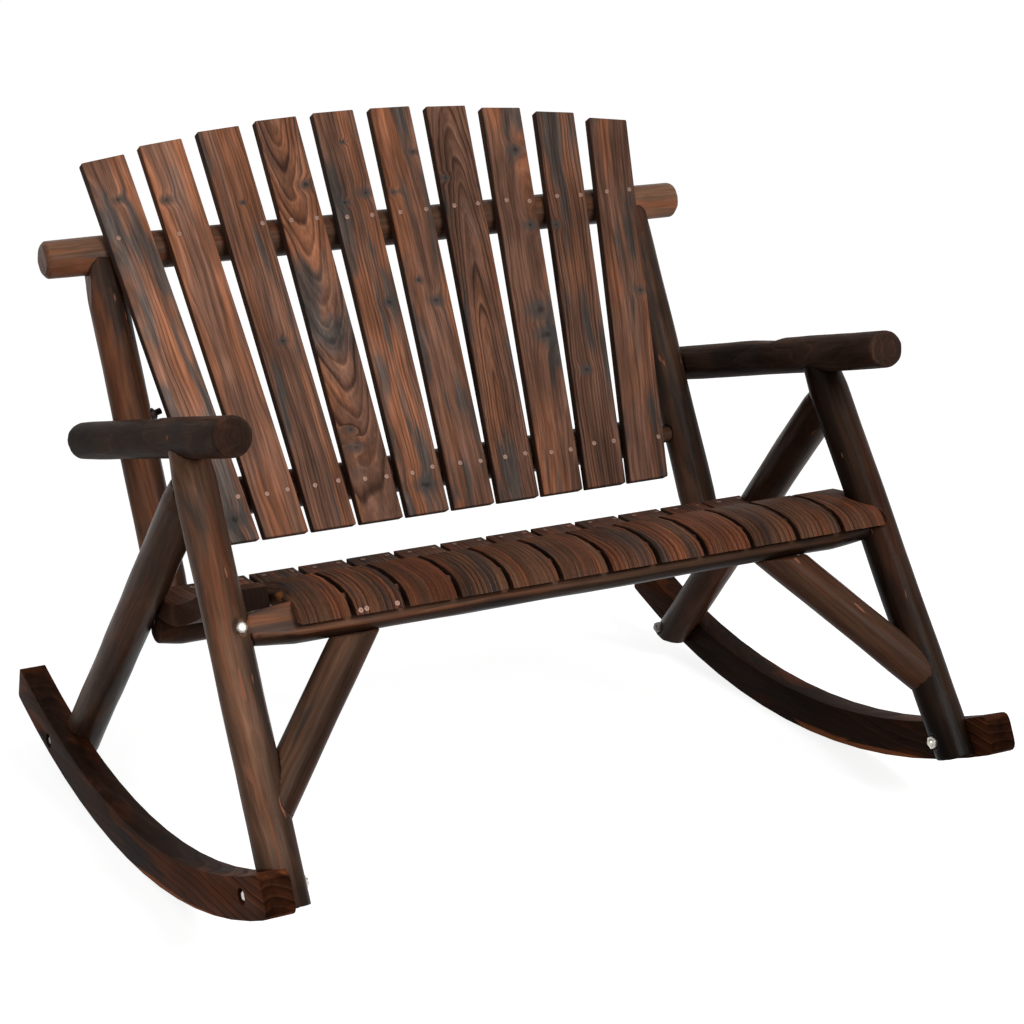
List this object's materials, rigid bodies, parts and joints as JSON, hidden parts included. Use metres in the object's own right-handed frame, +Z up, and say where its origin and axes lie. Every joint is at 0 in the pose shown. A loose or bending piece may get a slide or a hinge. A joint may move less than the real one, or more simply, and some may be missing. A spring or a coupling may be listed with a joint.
{
  "type": "rocking bench",
  "caption": "Rustic rocking bench of round logs with a fanned slat back, a contoured board seat, level log arms, slanting legs and curved plank rockers.",
  "frame": {"origin": "on the floor, under the middle of the bench's outline", "axes": "+X along the seat to the viewer's right as seen from the front, +Y to the back, +Z up"},
  "size_m": [1.1948, 1.0604, 1.0033],
  "materials": {
    "log_wood": "dark-brown stained, satin",
    "arm_wood": "almost black-brown, satin",
    "slat_wood": "dark red-brown stained with strong grain",
    "board_wood": "dark red-brown stained with strong grain, satin",
    "rocker_wood": "dark-brown stained, satin",
    "zinc": "zinc plated"
  },
  "bodies": {
    "root": {"top_rail": "log_wood", "lower_back_rail": "log_wood", "slat_01": "slat_wood", "slat_02": "slat_wood", "slat_03": "slat_wood", "slat_04": "slat_wood", "slat_05": "slat_wood", "slat_06": "slat_wood", "slat_07": "slat_wood", "slat_08": "slat_wood", "slat_09": "slat_wood", "slat_10": "slat_wood", "post_left": "log_wood", "post_right": "log_wood", "front_seat_rail": "log_wood", "rear_seat_rail": "log_wood", "seat_board_01": "board_wood", "seat_board_02": "board_wood", "seat_board_03": "board_wood", "seat_board_04": "board_wood", "seat_board_05": "board_wood", "seat_board_06": "board_wood", "seat_board_07": "board_wood", "seat_board_08": "board_wood", "seat_board_09": "board_wood", "seat_board_10": "board_wood", "seat_board_11": "board_wood", "seat_board_12": "board_wood", "seat_board_13": "board_wood", "front_leg_left": "log_wood", "rear_leg_left": "log_wood", "arm_left": "arm_wood", "brace_left": "log_wood", "leg_left_bolt": "zinc", "leg_left_nut": "zinc", "arm_left_bolt": "zinc", "arm_left_nut": "zinc", "front_leg_right": "log_wood", "rear_leg_right": "log_wood", "arm_right": "arm_wood", "brace_right": "log_wood", "leg_right_bolt": "zinc", "leg_right_nut": "zinc", "arm_right_bolt": "zinc", "arm_right_nut": "zinc", "rocker_left": "rocker_wood", "front_rocker_left_bolt": "zinc", "front_rocker_left_nut": "zinc", "rear_rocker_left_bolt": "zinc", "rear_rocker_left_nut": "zinc", "rocker_right": "rocker_wood", "front_rocker_right_bolt": "zinc", "front_rocker_right_nut": "zinc", "rear_rocker_right_bolt": "zinc", "rear_rocker_right_nut": "zinc"}
  },
  "joints": []
}
